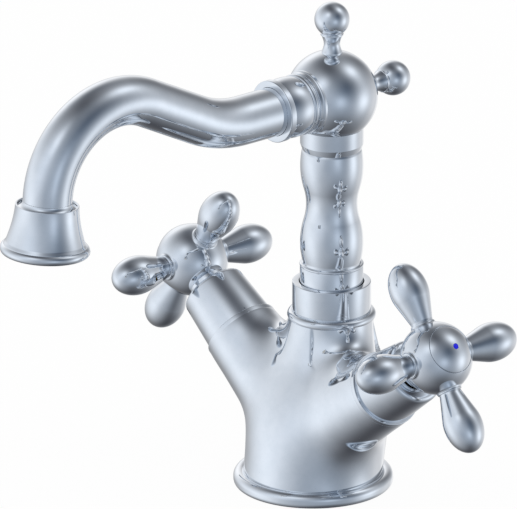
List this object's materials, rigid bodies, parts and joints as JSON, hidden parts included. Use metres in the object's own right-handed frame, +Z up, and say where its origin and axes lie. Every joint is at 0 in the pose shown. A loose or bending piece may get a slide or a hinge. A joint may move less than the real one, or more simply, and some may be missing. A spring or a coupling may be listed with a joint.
{
  "type": "basin mixer tap",
  "caption": "Chrome basin mixer tap: one cast body with two slanted cross handles, a turned column and a curved swivel spout that ends in a flared outlet bell.",
  "frame": {"origin": "centre of the foot's underside, where the tap stands on the basin", "axes": "+Z up, the spout points to -Y, the cold handle is at +X and the hot handle at -X"},
  "size_m": [0.1708, 0.1733, 0.1699],
  "materials": {
    "chrome": "bright chrome plate",
    "brass": "machined",
    "ceramic": "lapped ceramic",
    "rubber": "moulded",
    "steel": "plain",
    "nylon": "moulded",
    "red_dot": "glossy",
    "blue_dot": "glossy"
  },
  "bodies": {
    "base": {"body": "chrome", "base_seal": "rubber", "swivel_collar": "chrome", "glide_ring": "nylon", "hot_bonnet": "chrome", "cold_bonnet": "chrome", "hot_cartridge": "brass", "cold_cartridge": "brass", "hot_seat_seal": "rubber", "cold_seat_seal": "rubber", "hot_fixed_disc": "ceramic", "cold_fixed_disc": "ceramic"},
    "spout": {"column": "chrome", "column_orings": "rubber", "column_circlip": "steel", "head_collar": "chrome", "ball_head": "chrome", "top_finial": "chrome", "rear_finial": "chrome", "spout_ferrule": "chrome", "spout_tube": "chrome", "spout_seal": "rubber", "outlet_bell": "chrome", "aerator": "nylon", "aerator_seal": "rubber"},
    "hot_handle": {"hot_spindle": "brass", "hot_spindle_oring": "rubber", "hot_moving_disc": "ceramic", "hot_hub": "chrome", "hot_arms": "chrome", "hot_screw": "steel", "hot_index_cap": "chrome", "hot_index_dot": "red_dot"},
    "cold_handle": {"cold_spindle": "brass", "cold_spindle_oring": "rubber", "cold_moving_disc": "ceramic", "cold_hub": "chrome", "cold_arms": "chrome", "cold_screw": "steel", "cold_index_cap": "chrome", "cold_index_dot": "blue_dot"}
  },
  "joints": [
    {"name": "spout_swivel", "type": "hinge", "parent": "base", "child": "spout", "pos_m": [0, 0.008, 0.0605], "axis": [0, 0, 1], "continuous": true},
    {"name": "hot_turn", "type": "hinge", "parent": "base", "child": "hot_handle", "pos_m": [-0.06357, 0, 0.06251], "axis": [-0.8192, 0, 0.5736], "range_deg": [0, 90]},
    {"name": "cold_turn", "type": "hinge", "parent": "base", "child": "cold_handle", "pos_m": [0.06357, 0, 0.06251], "axis": [0.8192, 0, 0.5736], "range_deg": [-90, 0]}
  ]
}
